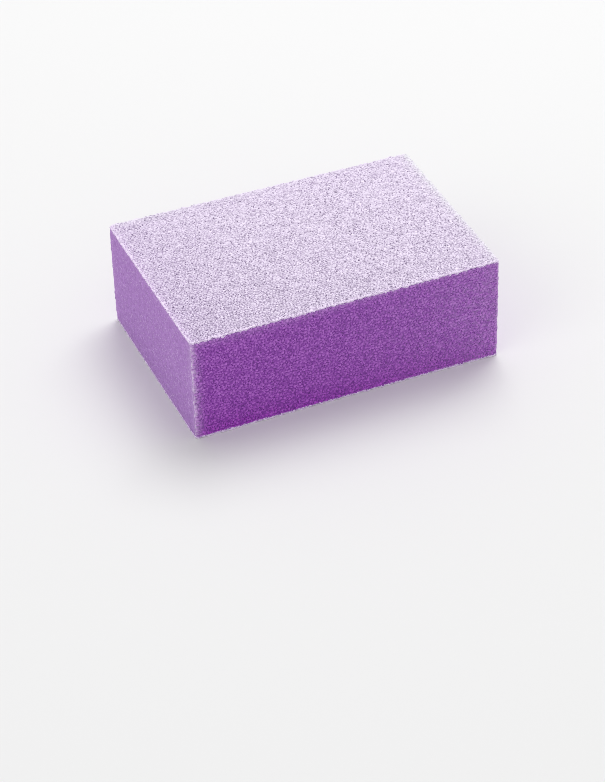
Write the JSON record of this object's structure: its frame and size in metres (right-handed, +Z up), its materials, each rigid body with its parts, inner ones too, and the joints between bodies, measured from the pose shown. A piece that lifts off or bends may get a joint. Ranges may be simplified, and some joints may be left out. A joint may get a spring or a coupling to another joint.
{
  "type": "nail buffer block",
  "caption": "Small rectangular foam hand block with coarse abrasive on its large faces, finer abrasive on its long sides and bare foam ends, for buffing nails.",
  "frame": {"origin": "centre of the bottom face, on the plane that the block rests on", "axes": "+X along the block's length, +Y across its width towards the back, +Z up through its thickness"},
  "size_m": [0.036, 0.025, 0.0127],
  "materials": {
    "foam": "matte",
    "make_coat": "satin",
    "coarse_grit": "matte",
    "fine_grit": "matte"
  },
  "bodies": {
    "root": {"foam_core": "foam", "top_make_coat": "make_coat", "top_coarse_grit": "coarse_grit", "bottom_make_coat": "make_coat", "bottom_coarse_grit": "coarse_grit", "front_make_coat": "make_coat", "front_fine_grit": "fine_grit", "back_make_coat": "make_coat", "back_fine_grit": "fine_grit"}
  },
  "joints": []
}
